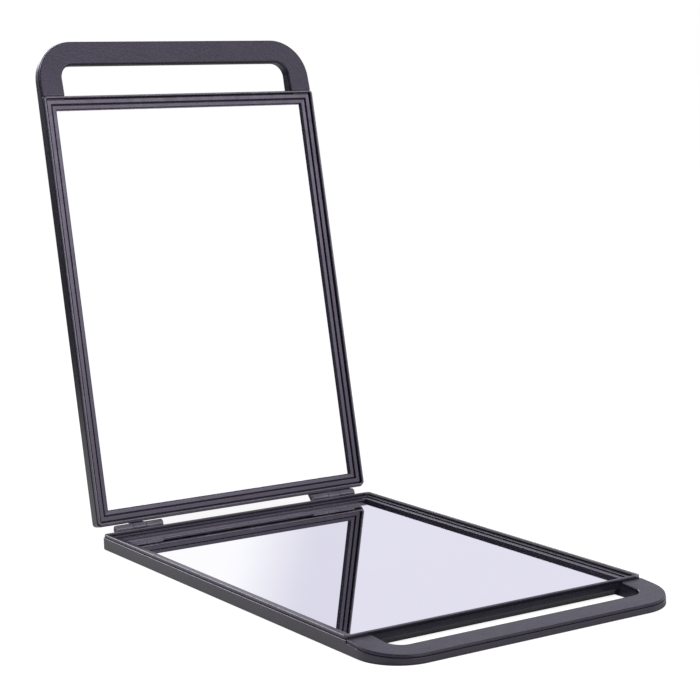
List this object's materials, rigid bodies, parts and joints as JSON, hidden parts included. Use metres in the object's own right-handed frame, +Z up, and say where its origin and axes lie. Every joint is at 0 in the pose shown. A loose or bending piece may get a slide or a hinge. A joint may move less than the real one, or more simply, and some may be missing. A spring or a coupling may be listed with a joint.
{
  "type": "folding mirror",
  "caption": "Folding hairdresser's mirror: framed mirror leaves with loop handles, hinged along a short edge so that one lies flat and the other stands up.",
  "frame": {"origin": "middle of the lower leaf's flat underside, on the surface that the mirror stands on", "axes": "+X along the lower leaf from the hinge to its handle, +Y across the leaves along the hinge axis, +Z up"},
  "size_m": [0.4641, 0.24, 0.3755],
  "materials": {
    "shell_plastic": "satin",
    "bezel_plastic": "satin, with a fine leather grain on the handle's face",
    "mirror_glass": "polished",
    "backing_board": "matte",
    "pin_steel": "satin"
  },
  "bodies": {
    "base": {"base_back_shell": "shell_plastic", "base_bezel": "bezel_plastic", "base_mirror_glass": "mirror_glass", "base_backing_sheet": "backing_board", "hinge_pin_left": "pin_steel"},
    "lid": {"lid_back_shell": "shell_plastic", "lid_bezel": "bezel_plastic", "lid_mirror_glass": "mirror_glass", "lid_backing_sheet": "backing_board", "hinge_pin_right": "pin_steel"}
  },
  "joints": [
    {"name": "lid_hinge", "type": "hinge", "parent": "base", "child": "lid", "pos_m": [-0.18855, 0, 0.01215], "axis": [0, -1, 0], "range_deg": [-102.2, 77.8]}
  ]
}
